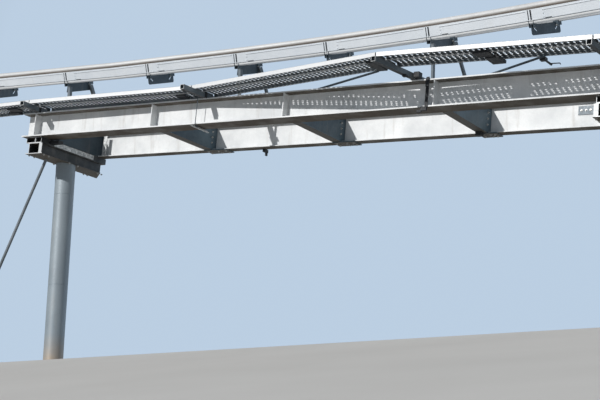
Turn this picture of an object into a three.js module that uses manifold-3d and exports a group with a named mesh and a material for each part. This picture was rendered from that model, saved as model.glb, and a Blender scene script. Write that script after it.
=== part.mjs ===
// Bridge section of an alpine coaster: a banked tubular track and a service walkway,
// carried over a passage by two steel girders on two round columns.
// Millimetres, +Z up, X along the bridge, the walkway on the -Y side.
// The origin is the centre of the left column's foot, at ground level.
// The deck falls to the right: the girders, crossheads, walkway and track stand in its
// own turned frame, while the columns and stays reach down to level ground.

import * as THREE from "three";
import { mergeVertices } from "three/addons/utils/BufferGeometryUtils.js";
import Module from "manifold-3d";

const wasm = await Module();
wasm.setup();

// Clearance left where two pieces meet, and the overlap of welded plates
const seat = 0.3;
const weld = 1;

// Deck: falls to the right, its underside this high above the ground at mid-span
const deckFall = THREE.MathUtils.degToRad(4.43);
const deckHeight = 2742;

// Girders: a broad wide-flange beam on the near side and a narrower one on the far side
const girderLength = 8580;
const girderDepth = 330;
const girderOffset = 584;
const nearGirder = { side: -1, width: 258, web: 9.5, flange: 16.5 };
const farGirder = { side: 1, width: 150, web: 7.5, flange: 11.5 };
const stiffenerPitch = 2040;
const stiffenerThickness = 12;
const stiffenerSetback = 10;

// Cross-beams between the girders, and the seat plates under their far ends
const crossbeamWidth = 130;
const crossbeamWeb = 10;
const crossbeamFlange = 15;
const seatPlateLengths = [370, 330, 250];
const seatPlateThickness = 12;
const seatPlateInner = 490;
const seatPlateOuter = 685;

// Supports: a round column, a box crosshead and two packing rails
const supportX = 4073;
const columnRadius = 136.5;
const columnSides = 32;
const railHeight = 80;
const packingRails = [
  { name: "wide", from: -157, to: 3, wall: 6 },
  { name: "narrow", from: 8, to: 118, wall: 6 },
];
const packingRailStart = -663;
const packingRailEnd = 690;
const crossheadDepth = 155;
const crossheadPlateWidth = 310;
const crossheadTopWidth = 250;
const crossheadPlate = 10;
const crossheadWeb = 8;
const crossheadWebOffset = 93;
const crossheadStart = -665;
const crossheadOuterEnd = 840;
const crossheadInnerEnd = 560;
const crossheadStiffener = 50;
const supportDepth = railHeight + crossheadDepth;

// Raking stays from the crossheads down to the ground
const stayRadius = 21;
const stayTopOut = 73;
const stayY = -330;
const stayLean = 0.502;
const stayOvershoot = 0.03;

// Track: two running tubes above two guide tubes, banked with the far side up
const trackStart = -4130;
const trackEnd = 6170;
const bendStartX = -1772;
const bendStartY = -181;
const bendRadius = 22000;
const trackHeight = 1109;
const trackClimb = 0.007;
const approachEnd = -1500;
const approachFall = 0.016;
const dropRate = 4e-6;
const bank = THREE.MathUtils.degToRad(19.9);
const gauge = 485;
const upperRadius = 42;
const lowerRadius = 24;
const tubeDrop = 168;
const tubeSteps = 60;
const upperQuarter = 3;
const lowerQuarter = 2;
const tubeClearance = 0.6;

// Sleepers: a hanging plate with a channel bracket under each pair of tubes
const firstSleeper = -3845;
const bays = [1489, 1489, 1472, 1430, 1530, 1422];
const sleeperOverhang = 35;
const sleeperThickness = 8;
const sleeperHang = 122;
const sleeperCorner = 28;
const sleeperTaper = 45;
const slotLength = 62;
const slotWidth = 15;
const slotInset = 75;
const slotTilt = THREE.MathUtils.degToRad(38);
const slotSegments = 5;
const bracketHalfLength = 33;
const bracketPlate = 6;
const bracketOuter = -29;
const bracketInner = 36;
const bracketBelow = 62;
const bracketAbove = 18;
const bracketBackTop = 48;

// Side panels between the running tube and the guide tube
const panelThickness = 4;
const panelTop = -29;
const panelBottom = -151;
const panelWindowHalf = 26;
const panelEdgeStrip = 6;

// Stands: telescoping legs from the end-plates of every second sleeper to a bearer
const standSleepers = [1, 3, 5];
const legSplay = THREE.MathUtils.degToRad(15);
const legInset = 22;
const legWidth = 50;
const legInnerWidth = 38;
const legDepth = 40;
const legInnerDepth = 30;
const legSleeveLength = 190;
const legTopClearance = 5;
const footLength = 130;
const footWidth = 120;
const footThickness = 10;

// Bearers: square tubes laid across the girders under the stands and the walkway,
// each from its near end at a heading to the right of straight across
const bearerSize = 60;
const bearerWall = 4;
const bearerTop = girderDepth + bearerSize;
const bearerFarY = 840;
const bearers = [
  { x: -3990, y: -1084, heading: -5.2 },
  { x: -1230, y: -1142, heading: 4.8 },
  { x: 1670, y: -1475, heading: 9 },
  { x: 4110, y: -1350, heading: 3 },
];

// Walkway: pairs of perforated planks, near edge through these plan points
const walkwayCorners = [
  [-5750, -867],
  [-3990, -955],
  [-1250, -930],
  [1685, -1457],
  [4144, -1335],
  [4780, -1310],
];
const plankWidth = 208;
const plankGap = 12;
const plankDepth = 50;
const plankSheet = 3;
const plankEndGap = 8;
const clipLength = 60;
const clipHeight = 24;
const clipShares = [0.2, 0.5, 0.8];

// Outriggers: slim bars that steady the walkway between two bearers
const outriggers = [
  { girderX: 447, girderY: -640, plankX: 1470, plankY: -995 },
  { girderX: 2707, girderY: -640, plankX: 3483, plankY: -990 },
];
const outriggerSize = 26;
const barSides = 12;

const galvanised = { color: 0xc9cdcd, roughness: 0.55, metalness: 0.6 };
const galvanisedDark = { color: 0x6f7a80, roughness: 0.6, metalness: 0.6 };
const columnPaint = { color: 0x97a1a8, roughness: 0.55, metalness: 0.4 };
const panelWhite = { color: 0xdadcda, roughness: 0.5, metalness: 0.3 };

// The deck's own frame: origin on the girders' underside at mid-span, Z square to the deck
const bridge = new THREE.Group();
const deck = new THREE.Group();
deck.rotation.y = deckFall;
deck.position.set(
  supportX * Math.cos(deckFall) + supportDepth * Math.sin(deckFall),
  0,
  deckHeight,
);
deck.updateMatrix();
bridge.add(deck);
const deckUp = new THREE.Vector3(Math.sin(deckFall), 0, Math.cos(deckFall));

// Turn a closed geometry into a solid that can be joined and cut.
function toSolid(geometry) {
  const bare = geometry.clone();
  bare.deleteAttribute("normal");
  bare.deleteAttribute("uv");
  const merged = mergeVertices(bare, 1e-3);
  return new wasm.Manifold(
    new wasm.Mesh({
      numProp: 3,
      vertProperties: Float32Array.from(merged.attributes.position.array),
      triVerts: Uint32Array.from(merged.index.array),
    }),
  );
}

// Turn a solid back into a geometry.
function toGeometry(solid) {
  const mesh = solid.getMesh();
  const geometry = new THREE.BufferGeometry();
  const positions = new Float32Array(mesh.vertProperties);
  geometry.setAttribute("position", new THREE.BufferAttribute(positions, 3));
  geometry.setIndex(new THREE.BufferAttribute(new Uint32Array(mesh.triVerts), 1));
  geometry.computeVertexNormals();
  return geometry;
}

// Cut a standing solid off along a plane of the deck, and level with the ground.
function cutToSupport(solid, level) {
  const offset = -(level + deckUp.dot(deck.position));
  return solid.trimByPlane([-deckUp.x, -deckUp.y, -deckUp.z], offset).trimByPlane([0, 0, 1], 0);
}

function joined(geometries) {
  return geometries.map(toSolid).reduce((whole, next) => whole.add(next));
}

function addPiece(name, geometry, finish, group = deck) {
  const mesh = new THREE.Mesh(geometry, new THREE.MeshStandardMaterial(finish));
  mesh.name = name;
  group.add(mesh);
}

// A box between two opposite corners.
function block(x0, x1, y0, y1, z0, z1) {
  const geometry = new THREE.BoxGeometry(x1 - x0, y1 - y0, z1 - z0);
  return geometry.translate((x0 + x1) / 2, (y0 + y1) / 2, (z0 + z1) / 2);
}

function polygon(points) {
  return new THREE.Shape(points.map(([x, y]) => new THREE.Vector2(x, y)));
}

function rectangle(x0, x1, y0, y1) {
  return polygon([
    [x0, y0],
    [x1, y0],
    [x1, y1],
    [x0, y1],
  ]);
}

function extrude(shape, depth, steps = 1, curveSegments = 6) {
  return new THREE.ExtrudeGeometry(shape, { depth, steps, curveSegments, bevelEnabled: false });
}

// Lay a section out along X: section x becomes Y, section y becomes Z.
function alongX(shape, from, to) {
  const basis = new THREE.Matrix4().makeBasis(
    new THREE.Vector3(0, 1, 0),
    new THREE.Vector3(0, 0, 1),
    new THREE.Vector3(1, 0, 0),
  );
  return extrude(shape, to - from).applyMatrix4(basis).translate(from, 0, 0);
}

// Lay a section out along Y: section x becomes -X, section y becomes Z.
function alongY(shape, from, to) {
  const basis = new THREE.Matrix4().makeBasis(
    new THREE.Vector3(-1, 0, 0),
    new THREE.Vector3(0, 0, 1),
    new THREE.Vector3(0, 1, 0),
  );
  return extrude(shape, to - from).applyMatrix4(basis).translate(0, from, 0);
}

// A point of the track: along the near running tube, across to the far side, up from it.
function trackPoint(along, across, up) {
  const turned = Math.max(0, along) / bendRadius;
  const side = across * Math.cos(bank) - up * Math.sin(bank);
  const rise = across * Math.sin(bank) + up * Math.cos(bank);
  const approach = approachFall * Math.max(0, approachEnd - along);
  const dip = dropRate * Math.max(0, along) ** 2;
  const height = trackHeight + approach + trackClimb * along - dip;
  const x = bendStartX + Math.min(0, along) + bendRadius * Math.sin(turned);
  const y = bendStartY - bendRadius * (1 - Math.cos(turned));
  return new THREE.Vector3(
    x + side * Math.sin(turned),
    y + side * Math.cos(turned),
    height + rise,
  );
}

// Bend a straight geometry (x across, y up, z along) to the line of the track.
function bent(geometry) {
  const position = geometry.attributes.position;
  for (let i = 0; i < position.count; i += 1) {
    const point = trackPoint(position.getZ(i), position.getX(i), position.getY(i));
    position.setXYZ(i, point.x, point.y, point.z);
  }
  position.needsUpdate = true;
  geometry.computeVertexNormals();
  return geometry;
}

function disc(x, y, radius) {
  const shape = new THREE.Shape();
  shape.absarc(x, y, radius, 0, 2 * Math.PI, false);
  return shape;
}

function straightTube(across, up, radius, from, to, steps, quarterSegments) {
  const tube = extrude(disc(across, up, radius), to - from, steps, quarterSegments);
  return tube.translate(0, 0, from);
}

// Wide-flange girder with welded stiffeners on its outer face.
function makeGirder(name, girder) {
  const half = girder.width / 2;
  const web = girder.web / 2;
  const low = girder.flange;
  const high = girderDepth - girder.flange;
  const profile = polygon([
    [-half, 0],
    [half, 0],
    [half, low],
    [web, low],
    [web, high],
    [half, high],
    [half, girderDepth],
    [-half, girderDepth],
    [-half, high],
    [-web, high],
    [-web, low],
    [-half, low],
  ]);
  const middle = girder.side * girderOffset;
  const beam = alongX(profile, -girderLength / 2, girderLength / 2).translate(0, middle, 0);
  const parts = [beam];
  const edge = middle + girder.side * (half - stiffenerSetback);
  for (let station = -2; station <= 2; station += 1) {
    const x = station * stiffenerPitch;
    parts.push(
      block(
        x - stiffenerThickness / 2,
        x + stiffenerThickness / 2,
        Math.min(edge, middle),
        Math.max(edge, middle),
        low - weld,
        high + weld,
      ),
    );
  }
  addPiece(name, toGeometry(joined(parts)), galvanised);
}

// Channel between the girders, its web coped to reach between their flanges.
function makeCrossbeam(name, x, direction, seatPlateLength) {
  const bottom = seatPlateLength > 0 ? -weld : 0;
  const top = girderDepth + bottom;
  const nearEnd = nearGirder.width / 2 - girderOffset + seat;
  const farEnd = girderOffset - farGirder.width / 2 - seat;
  const nearWeb = nearGirder.web / 2 - girderOffset + seat;
  const farWeb = girderOffset - farGirder.web / 2 - seat;
  const flangeClear = nearGirder.flange + seat;
  const back = x + direction * crossbeamWidth;
  const front = back - direction * crossbeamWeb;
  const low = Math.min(x, back);
  const high = Math.max(x, back);
  const webLow = Math.min(front, back);
  const webHigh = Math.max(front, back);
  const parts = [
    block(low, high, nearEnd, farEnd, bottom, bottom + crossbeamFlange),
    block(low, high, nearEnd, farEnd, top - crossbeamFlange, top),
    block(webLow, webHigh, nearEnd, farEnd, bottom, top),
    block(webLow, webHigh, nearWeb, farWeb, flangeClear, girderDepth - flangeClear),
  ];
  if (seatPlateLength > 0) {
    const plateBottom = -seat - seatPlateThickness;
    parts.push(
      block(x, x + seatPlateLength, seatPlateInner, seatPlateOuter, plateBottom, -seat),
    );
  }
  addPiece(name, toGeometry(joined(parts)), galvanised);
}

// Upright round column, its top cut to the underside of the crosshead.
function makeColumn(name, side) {
  const level = -supportDepth - seat;
  const axis = new THREE.Vector3(side * supportX, 0, level).applyMatrix4(deck.matrix);
  const height = axis.z + columnRadius;
  const shaft = new THREE.CylinderGeometry(columnRadius, columnRadius, height, columnSides);
  shaft.rotateX(Math.PI / 2).translate(axis.x, 0, height / 2);
  addPiece(name, toGeometry(cutToSupport(toSolid(shaft), level)), columnPaint, bridge);
}

// Box crosshead of two webs between a bottom plate and a narrower top plate,
// its far end cut on the slant.
function makeCrosshead(name, side) {
  const x = side * supportX;
  const top = -railHeight - seat;
  const bottom = -supportDepth;
  const plateHalf = crossheadPlateWidth / 2;
  const topHalf = crossheadTopWidth / 2;
  const webBottom = bottom + crossheadPlate - weld;
  const webTop = top - crossheadPlate + weld;
  const parts = [
    block(
      x - plateHalf,
      x + plateHalf,
      crossheadStart,
      crossheadOuterEnd,
      bottom,
      bottom + crossheadPlate,
    ),
    block(
      x - topHalf,
      x + topHalf,
      crossheadStart,
      crossheadOuterEnd,
      top - crossheadPlate,
      top,
    ),
  ];
  for (const hand of [-1, 1]) {
    const web = x + hand * crossheadWebOffset;
    const half = crossheadWeb / 2;
    parts.push(
      block(web - half, web + half, crossheadStart, crossheadOuterEnd, webBottom, webTop),
    );
  }
  const web = x - side * crossheadWebOffset;
  const edge = web - side * crossheadStiffener;
  parts.push(
    block(
      Math.min(web, edge),
      Math.max(web, edge),
      crossheadStart,
      crossheadStart + stiffenerThickness,
      webBottom,
      webTop,
    ),
  );
  const slant = new THREE.Vector3(
    side * (crossheadOuterEnd - crossheadInnerEnd),
    -crossheadPlateWidth,
    0,
  );
  slant.normalize();
  const corner = new THREE.Vector3(x + side * plateHalf, crossheadOuterEnd, 0);
  const solid = joined(parts).trimByPlane([slant.x, slant.y, 0], slant.dot(corner));
  addPiece(name, toGeometry(solid), galvanised);
}

// Open rectangular tube laid on the crosshead under the girders.
function makePackingRail(name, side, rail) {
  const near = side * (supportX - rail.from);
  const far = side * (supportX - rail.to);
  const left = -Math.max(near, far);
  const right = -Math.min(near, far);
  const outline = rectangle(left, right, -railHeight, -seat);
  outline.holes.push(
    rectangle(
      left + rail.wall,
      right - rail.wall,
      rail.wall - railHeight,
      -seat - rail.wall,
    ),
  );
  addPiece(name, alongY(outline, packingRailStart, packingRailEnd), galvanised);
}

// A round bar that runs past two points by a share of its length.
function longBar(start, end, radius, share) {
  const run = new THREE.Vector3().subVectors(end, start);
  const length = run.length() * (1 + 2 * share);
  const bar = new THREE.CylinderGeometry(radius, radius, length, barSides);
  const turn = new THREE.Quaternion().setFromUnitVectors(
    new THREE.Vector3(0, 1, 0),
    run.normalize(),
  );
  const middle = new THREE.Vector3().addVectors(start, end).multiplyScalar(0.5);
  return toSolid(bar.applyQuaternion(turn).translate(middle.x, middle.y, middle.z));
}

// Raking stay from the underside of a crosshead out to the ground.
function makeStay(name, side) {
  const level = -supportDepth - seat;
  const start = new THREE.Vector3(side * (supportX + stayTopOut), stayY, level);
  start.applyMatrix4(deck.matrix);
  const end = new THREE.Vector3(start.x + side * stayLean * start.z, stayY, 0);
  const bar = cutToSupport(longBar(start, end, stayRadius, stayOvershoot), level);
  addPiece(name, toGeometry(bar), galvanised, bridge);
}

// Square tube across both girders, open at its ends.
function makeBearer(name, bearer) {
  const heading = THREE.MathUtils.degToRad(bearer.heading);
  const length = (bearerFarY - bearer.y) / Math.cos(heading);
  const half = bearerSize / 2;
  const outline = rectangle(-half, half, seat, bearerSize);
  outline.holes.push(
    rectangle(-half + bearerWall, half - bearerWall, seat + bearerWall, bearerSize - bearerWall),
  );
  const tube = alongY(outline, 0, length).rotateZ(-heading);
  addPiece(name, tube.translate(bearer.x, bearer.y, girderDepth), galvanised);
}

// Distance of a sleeper along the near running tube.
function sleeperAlong(index) {
  return bays.slice(0, index).reduce((sum, length) => sum + length, firstSleeper);
}

// One tube of the track from end to end.
function makeTrackTube(name, across, up, radius, quarterSegments) {
  const tube = straightTube(
    across,
    up,
    radius,
    trackStart,
    trackEnd,
    tubeSteps,
    quarterSegments,
  );
  addPiece(name, bent(tube), galvanised);
}

// A slanted slot with round ends through the sleeper plate.
function slantedSlot(x, y, tilt) {
  const slot = new THREE.Path();
  const radius = slotWidth / 2;
  const run = (slotLength - slotWidth) / 2;
  const turn = (px, py) => [
    x + px * Math.cos(tilt) - py * Math.sin(tilt),
    y + px * Math.sin(tilt) + py * Math.cos(tilt),
  ];
  const [x0, y0] = turn(-run, 0);
  const [x1, y1] = turn(run, 0);
  slot.absarc(x0, y0, radius, tilt + Math.PI / 2, tilt + 1.5 * Math.PI, false);
  slot.absarc(x1, y1, radius, tilt - Math.PI / 2, tilt + Math.PI / 2, false);
  return slot;
}

// The hanging plate of a sleeper: round lower corners, or a trapezoid over a stand.
function sleeperPlate(overStand) {
  const top = -tubeDrop - lowerRadius - tubeClearance;
  const bottom = top - sleeperHang;
  const left = -sleeperOverhang;
  const right = gauge + sleeperOverhang;
  const shape = new THREE.Shape();
  if (overStand) {
    shape.moveTo(left + sleeperTaper, top);
    shape.lineTo(left, bottom);
    shape.lineTo(right, bottom);
    shape.lineTo(right - sleeperTaper, top);
  } else {
    const r = sleeperCorner;
    shape.moveTo(left, top);
    shape.lineTo(left, bottom + r);
    shape.absarc(left + r, bottom + r, r, Math.PI, 1.5 * Math.PI, false);
    shape.lineTo(right - r, bottom);
    shape.absarc(right - r, bottom + r, r, 1.5 * Math.PI, 2 * Math.PI, false);
    shape.lineTo(right, top);
    const slotY = (top + bottom) / 2;
    shape.holes.push(slantedSlot(left + slotInset, slotY, Math.PI - slotTilt));
    shape.holes.push(slantedSlot(right - slotInset, slotY, slotTilt));
  }
  return shape;
}

// Channel bracket under one pair of tubes: two cheeks and a back web.
function bracketParts(across, inward, along) {
  const low = -tubeDrop - bracketBelow;
  const high = -bracketAbove;
  const outer = across + inward * bracketOuter;
  const inner = across + inward * bracketInner;
  const back = inner - inward * bracketPlate;
  const parts = [
    block(
      Math.min(back, inner),
      Math.max(back, inner),
      low,
      -bracketBackTop,
      along - bracketHalfLength,
      along + bracketHalfLength,
    ),
  ];
  for (const side of [-1, 1]) {
    const face = along + side * bracketHalfLength;
    const inside = face - side * bracketPlate;
    parts.push(
      block(
        Math.min(outer, inner),
        Math.max(outer, inner),
        low,
        high,
        Math.min(face, inside),
        Math.max(face, inside),
      ),
    );
  }
  return parts;
}

function makeSleeper(index) {
  const along = sleeperAlong(index);
  const overStand = standSleepers.includes(index);
  const plate = extrude(sleeperPlate(overStand), sleeperThickness, 1, slotSegments);
  plate.translate(0, 0, along - sleeperThickness / 2);
  const parts = [
    plate,
    ...bracketParts(0, 1, along),
    ...bracketParts(gauge, -1, along),
  ];
  const from = along - 2 * bracketHalfLength;
  const to = along + 2 * bracketHalfLength;
  let solid = joined(parts);
  for (const across of [0, gauge]) {
    const upper = straightTube(
      across,
      0,
      upperRadius + tubeClearance,
      from,
      to,
      1,
      upperQuarter,
    );
    const lower = straightTube(
      across,
      -tubeDrop,
      lowerRadius + tubeClearance,
      from,
      to,
      1,
      lowerQuarter,
    );
    solid = solid.subtract(toSolid(upper)).subtract(toSolid(lower));
  }
  addPiece(`sleeper_${index + 1}`, bent(toGeometry(solid)), galvanisedDark);
}

// Sheet between the tubes on one side, with a window at every bracket.
function makeSidePanel(name, outerFace, direction) {
  const from = trackStart;
  const to = trackEnd;
  const inner = outerFace - direction * panelThickness;
  const low = Math.min(outerFace, inner);
  const high = Math.max(outerFace, inner);
  const sheet = extrude(rectangle(low, high, panelBottom, panelTop), to - from, tubeSteps);
  let solid = toSolid(sheet.translate(0, 0, from));
  for (let index = 0; index <= bays.length; index += 1) {
    const along = sleeperAlong(index);
    const window = block(
      low - 1,
      high + 1,
      panelBottom + panelEdgeStrip,
      panelTop - panelEdgeStrip,
      along - panelWindowHalf,
      along + panelWindowHalf,
    );
    solid = solid.subtract(toSolid(window));
  }
  addPiece(name, bent(toGeometry(solid)), panelWhite);
}

// One telescoping leg as an outline in the plane of its sleeper, cut level at the foot.
function legOutline(top, direction, width, topReach, bottomZ) {
  const sidestep = new THREE.Vector2(-direction.y, direction.x).multiplyScalar(width / 2);
  const corners = [];
  for (const side of [1, -1]) {
    const edgeStart = top.clone().addScaledVector(sidestep, side);
    const drop = (bottomZ - edgeStart.y) / direction.y;
    corners.push([
      edgeStart.clone().addScaledVector(direction, topReach),
      edgeStart.clone().addScaledVector(direction, drop),
    ]);
  }
  const [[a, b], [c, d]] = corners;
  return new THREE.Shape([a, b, d, c]);
}

// A-frame stand: two splayed legs bolted to the sleeper plate, feet on the bearer.
function makeStand(index) {
  const along = sleeperAlong(index);
  const origin = trackPoint(along, 0, 0);
  const turned = Math.max(0, along) / bendRadius;
  const sideways = new THREE.Vector3(Math.sin(turned), Math.cos(turned), 0);
  const upward = new THREE.Vector3(0, 0, 1);
  const forward = new THREE.Vector3().crossVectors(sideways, upward);
  const footTop = bearerTop + seat + footThickness - origin.z;
  const legTop = -tubeDrop - bracketBelow - (legWidth * Math.sin(legSplay)) / 2 - legTopClearance;
  const legs = [
    { across: legInset, splay: -legSplay },
    { across: gauge - legInset, splay: legSplay },
  ];
  const standFrom = sleeperThickness / 2 + seat;
  legs.forEach((leg, number) => {
    const angle = bank + leg.splay;
    const direction = new THREE.Vector2(Math.sin(angle), -Math.cos(angle));
    const top = new THREE.Vector2(
      leg.across * Math.cos(bank) - legTop * Math.sin(bank),
      leg.across * Math.sin(bank) + legTop * Math.cos(bank),
    );
    const sleeve = legOutline(top, direction, legWidth, 0, top.y - legSleeveLength);
    const core = legOutline(top, direction, legInnerWidth, legSleeveLength / 2, footTop - weld);
    const reach = (footTop - top.y) / direction.y;
    const footX = top.x + direction.x * reach;
    const centre = standFrom + legDepth / 2;
    const coreFrom = centre - legInnerDepth / 2;
    const parts = [
      extrude(sleeve, legDepth).translate(0, 0, standFrom),
      extrude(core, legInnerDepth).translate(0, 0, coreFrom),
      block(
        footX - footLength / 2,
        footX + footLength / 2,
        footTop - footThickness,
        footTop,
        centre - footWidth / 2,
        centre + footWidth / 2,
      ),
    ];
    const place = new THREE.Matrix4()
      .makeBasis(sideways, upward, forward)
      .setPosition(origin);
    const label = number === 0 ? "near" : "far";
    const geometry = toGeometry(joined(parts)).applyMatrix4(place);
    addPiece(`stand_leg_${index + 1}_${label}`, geometry, galvanisedDark);
  });
}

// Heading of the walkway from one corner to the next, the end stretches carried on.
function walkwayHeading(index) {
  const last = walkwayCorners.length - 2;
  const from = Math.min(Math.max(index, 0), last);
  const [x0, y0] = walkwayCorners[from];
  const [x1, y1] = walkwayCorners[from + 1];
  return Math.atan2(y1 - y0, x1 - x0);
}

// A pair of planks from one corner of the walkway to the next, mitred at the corners.
function makePlanks(index) {
  const [x0, y0] = walkwayCorners[index];
  const [x1, y1] = walkwayCorners[index + 1];
  const heading = walkwayHeading(index);
  const length = Math.hypot(x1 - x0, y1 - y0);
  const startTurn = (heading - walkwayHeading(index - 1)) / 2;
  const endTurn = (walkwayHeading(index + 1) - heading) / 2;
  const second = plankWidth + plankGap;
  const breadth = second + plankWidth;
  const channel = (near) =>
    polygon([
      [near, 0],
      [near + plankSheet, 0],
      [near + plankSheet, plankDepth - plankSheet],
      [near + plankWidth - plankSheet, plankDepth - plankSheet],
      [near + plankWidth - plankSheet, 0],
      [near + plankWidth, 0],
      [near + plankWidth, plankDepth],
      [near, plankDepth],
    ]);
  const spare = breadth / 2;
  const parts = [0, second].map((near) => alongX(channel(near), -spare, length + spare));
  for (const share of clipShares) {
    const middle = share * length;
    parts.push(
      block(
        middle - clipLength / 2,
        middle + clipLength / 2,
        plankWidth - weld,
        second + weld,
        plankDepth - 2 * clipHeight,
        plankDepth - clipHeight,
      ),
    );
  }
  const startAt = (across) => plankEndGap + across * Math.tan(startTurn);
  const endAt = (across) => length - plankEndGap - across * Math.tan(endTurn);
  const cut = polygon([
    [startAt(-weld), -weld],
    [endAt(-weld), -weld],
    [endAt(breadth + weld), breadth + weld],
    [startAt(breadth + weld), breadth + weld],
  ]);
  const cutter = extrude(cut, plankDepth + 2 * weld).translate(0, 0, -weld);
  const solid = joined(parts).intersect(toSolid(cutter));
  const geometry = toGeometry(solid).rotateZ(heading).translate(x0, y0, bearerTop + seat);
  addPiece(`walkway_planks_${index + 1}`, geometry, galvanised);
}

// Slim bar from the girder's top to the underside of the planks.
function makeOutrigger(name, bar) {
  const half = outriggerSize / 2;
  const low = girderDepth + seat;
  const start = new THREE.Vector3(bar.girderX, bar.girderY, low + half);
  const end = new THREE.Vector3(bar.plankX, bar.plankY, bearerTop - half);
  addPiece(name, toGeometry(longBar(start, end, half, 0)), galvanisedDark);
}

makeGirder("girder_near", nearGirder);
makeGirder("girder_far", farGirder);

for (let station = -1; station <= 1; station += 1) {
  makeCrossbeam(
    `crossbeam_${station + 2}`,
    station * stiffenerPitch,
    1,
    seatPlateLengths[station + 1],
  );
}

for (const [label, side] of [
  ["left", -1],
  ["right", 1],
]) {
  makeCrossbeam(`end_diaphragm_${label}`, side * 2 * stiffenerPitch, -side, 0);
  makeColumn(`column_${label}`, side);
  makeCrosshead(`crosshead_${label}`, side);
  for (const rail of packingRails) {
    makePackingRail(`packing_rail_${rail.name}_${label}`, side, rail);
  }
  makeStay(`raking_stay_${label}`, side);
}

bearers.forEach((bearer, index) => makeBearer(`bearer_${index + 1}`, bearer));

for (let index = 0; index + 1 < walkwayCorners.length; index += 1) {
  makePlanks(index);
}
outriggers.forEach((bar, index) => makeOutrigger(`walkway_outrigger_${index + 1}`, bar));

makeTrackTube("running_tube_near", 0, 0, upperRadius, upperQuarter);
makeTrackTube("running_tube_far", gauge, 0, upperRadius, upperQuarter);
makeTrackTube("guide_tube_near", 0, -tubeDrop, lowerRadius, lowerQuarter);
makeTrackTube("guide_tube_far", gauge, -tubeDrop, lowerRadius, lowerQuarter);
makeSidePanel("side_panel_near", bracketOuter - seat - panelThickness, -1);
makeSidePanel("side_panel_far", gauge - bracketOuter + seat + panelThickness, 1);

for (let index = 0; index <= bays.length; index += 1) {
  makeSleeper(index);
}
standSleepers.forEach(makeStand);

export default bridge;
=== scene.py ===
import math

import bpy
from mathutils import Matrix, Vector


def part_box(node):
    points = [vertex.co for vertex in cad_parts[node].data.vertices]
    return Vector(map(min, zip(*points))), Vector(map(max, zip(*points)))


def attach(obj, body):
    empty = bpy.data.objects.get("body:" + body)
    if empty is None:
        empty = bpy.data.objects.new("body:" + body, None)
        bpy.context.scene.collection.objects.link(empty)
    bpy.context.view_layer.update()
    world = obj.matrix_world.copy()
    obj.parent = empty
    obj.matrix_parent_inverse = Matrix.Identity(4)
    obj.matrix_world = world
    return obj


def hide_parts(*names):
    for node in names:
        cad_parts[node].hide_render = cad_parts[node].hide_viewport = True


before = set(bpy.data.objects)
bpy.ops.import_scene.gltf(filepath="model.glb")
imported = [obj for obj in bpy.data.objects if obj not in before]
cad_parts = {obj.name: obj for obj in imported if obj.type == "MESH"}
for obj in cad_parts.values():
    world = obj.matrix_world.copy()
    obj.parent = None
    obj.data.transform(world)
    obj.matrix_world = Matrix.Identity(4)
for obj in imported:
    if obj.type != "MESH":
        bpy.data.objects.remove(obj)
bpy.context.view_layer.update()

# Deck frame: origin on the girders' underside at mid-span, falling to the right
FALL = math.radians(4.43)
DECK_HEIGHT = 2.742
SUPPORT_X = 4.073
SUPPORT_DEPTH = 0.235
DECK_ORIGIN = Vector((
    SUPPORT_X * math.cos(FALL) + SUPPORT_DEPTH * math.sin(FALL),
    0.0,
    DECK_HEIGHT,
))
DECK = Matrix.Translation(DECK_ORIGIN) @ Matrix.Rotation(FALL, 4, "Y")
SEAT = 0.0003

# Turns for a bolt's head: up, down, to the right and to the near side
UP = Matrix.Identity(4)
DOWN = Matrix.Rotation(math.pi, 4, "X")
RIGHTWARD = Matrix.Rotation(math.pi / 2, 4, "Y")
NEARWARD = Matrix.Rotation(math.pi / 2, 4, "X")

# Girders: side of the bridge and half the flange's width
GIRDER_DEPTH = 0.330
GIRDER_Y = 0.584
NEAR_HALF = 0.129
FAR_HALF = 0.075
GIRDERS = ((-1, NEAR_HALF), (1, FAR_HALF))
WEB_FACE = 0.0047
STATION = 2.040
BEARER_TOP = 0.390

# Columns
COLUMN_RADIUS = 0.1365
COLUMN_SIDES = 72
COLUMN_JOINTS = (1.09, 2.37)
JOINT_HALF = 0.007
GROOVE_HALF = 0.005
GROOVE_DEPTH = 0.003

# Track line, sleepers and tubes
TRACK_START = -4.130
TRACK_END = 6.170
BEND_START = (-1.772, -0.181)
BEND_RADIUS = 22.0
TRACK_HEIGHT = 1.109
TRACK_CLIMB = 0.007
APPROACH_END = -1.5
APPROACH_FALL = 0.016
DROP_RATE = 0.004
BANK = math.radians(19.9)
GAUGE = 0.485
RUN_RADIUS = 0.042
GUIDE_RADIUS = 0.024
TUBE_DROP = 0.168
SLEEPERS = [-3.845, -2.356, -0.867, 0.605, 2.035, 3.565, 4.987]
STAND_SLEEPERS = (1, 3, 5)
BRACKET_FACE = 0.0332
PLATE_FACE = 0.0042
PANEL_FACE = 0.0333

# Bearers: x and y of the near end, and heading to the right of straight across
BEARERS = [
    (-3.990, -1.084, math.radians(-5.2)),
    (-1.230, -1.142, math.radians(4.8)),
    (1.670, -1.475, math.radians(9.0)),
    (4.110, -1.350, math.radians(3.0)),
]

# Walkway: corners of its near edge, and its pairs of perforated planks
CORNERS = [
    (-5.750, -0.867),
    (-3.990, -0.955),
    (-1.250, -0.930),
    (1.685, -1.457),
    (4.144, -1.335),
    (4.780, -1.310),
]
PLANK_WIDTH = 0.208
PLANK_GAP = 0.012
PLANK_DEPTH = 0.050
PLANK_SHEET = 0.003
PLANK_END_GAP = 0.008
PLAIN_END = 0.03
FLANGE_RETURN = 0.014
INNER_FLANGE = 0.030
HOLE_ROWS = 4
ROW_MARGIN = 0.010
HOLE_PITCH = 0.066
HOLE_SIDES = 12
HOLE_HALF_WIDTH = 0.0150
HOLE_HALF_LENGTH = 0.0205
COLLAR_DEPTH = 0.006
COLLAR_TAPER = 0.0010


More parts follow.
